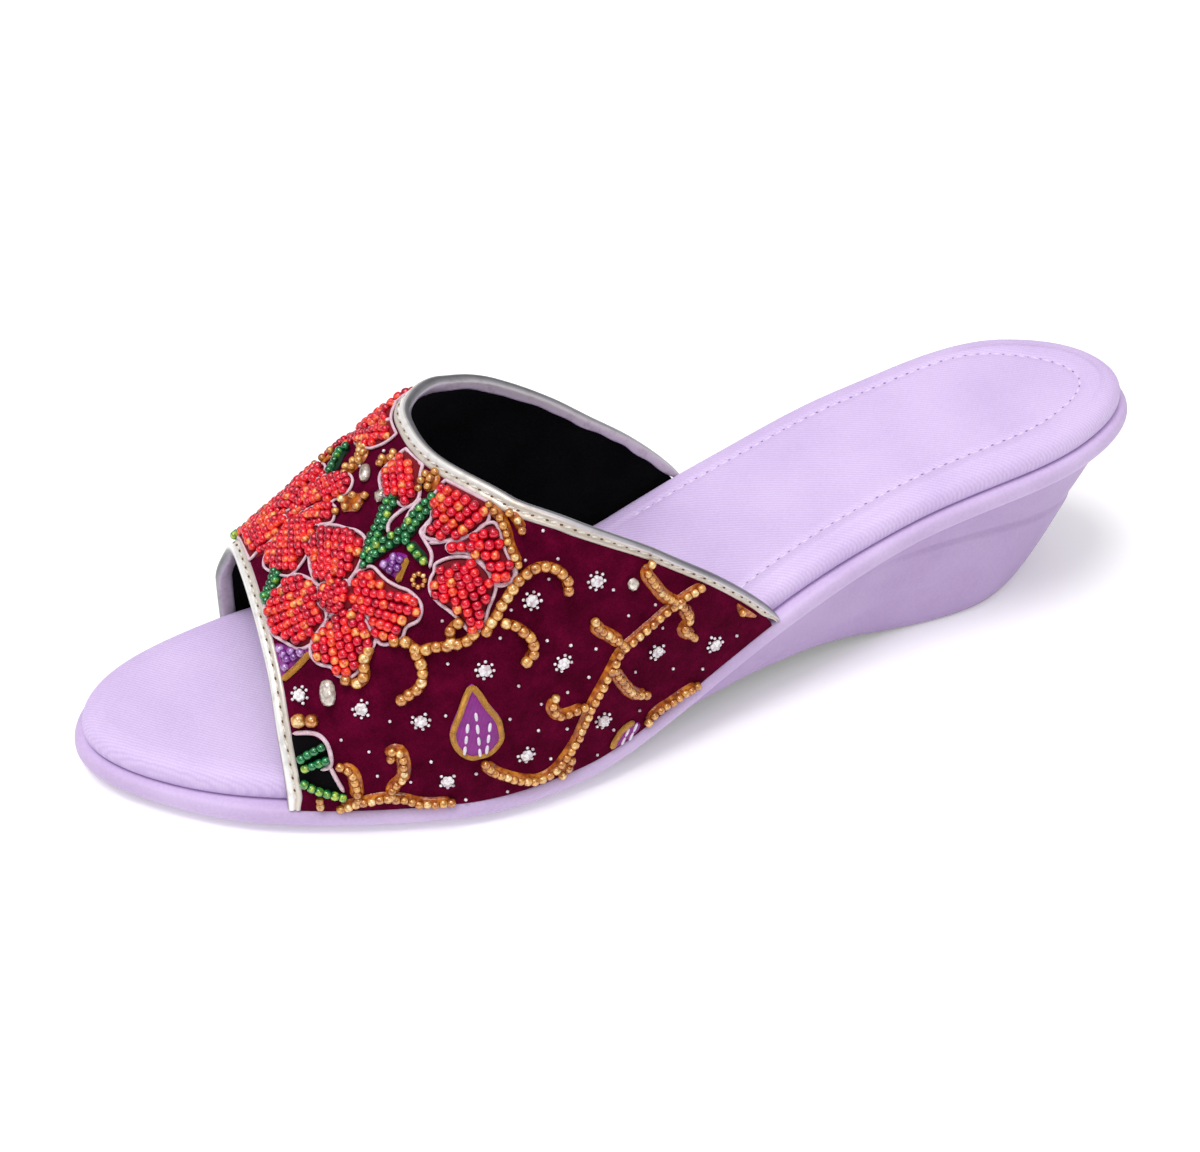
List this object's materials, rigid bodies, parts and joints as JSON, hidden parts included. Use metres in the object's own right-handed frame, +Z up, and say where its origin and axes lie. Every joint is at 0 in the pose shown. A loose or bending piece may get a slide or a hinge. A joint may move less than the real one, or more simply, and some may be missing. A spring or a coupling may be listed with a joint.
{
  "type": "beaded wedge sandal",
  "caption": "Left slide sandal with a low wedge, padded insole in a wrapped rim, and one broad velvet band with beaded flowers and vines.",
  "frame": {"origin": "on the floor under the middle of the shoe's overall box", "axes": "+Z up, toe toward -Y, +X toward the outer side of the left foot"},
  "size_m": [0.0786, 0.2498, 0.0709],
  "materials": {
    "lilac_pu": "fine-grained lilac synthetic leather over foam",
    "lilac_rim": "lilac synthetic leather wrapped round the platform rim",
    "lilac_wedge": "lilac synthetic leather wrapped round the wedge",
    "dark_rubber": "matt dark sheet rubber",
    "plum_velvet": "plum velvet with a black lining",
    "silver_pu": "metallic silver binding, folded and stitched",
    "red_beads": "coral red seed beads sewn in rows",
    "purple_satin": "purple satin patch with a gold stitched edge"
  },
  "bodies": {
    "root": {"insole_pad": "lilac_pu", "platform_rim": "lilac_rim", "wedge_heel": "lilac_wedge", "outsole": "dark_rubber", "upper_band": "plum_velvet", "throat_binding": "silver_pu", "toe_binding": "silver_pu", "flower_main": "red_beads", "flower_crest": "red_beads", "flower_throat": "red_beads", "flower_inner": "red_beads", "bud_throat": "red_beads", "fan_outer": "red_beads", "fan_inner": "red_beads", "bud_outer": "red_beads", "drop_outer": "purple_satin", "drop_inner": "purple_satin"}
  },
  "joints": []
}
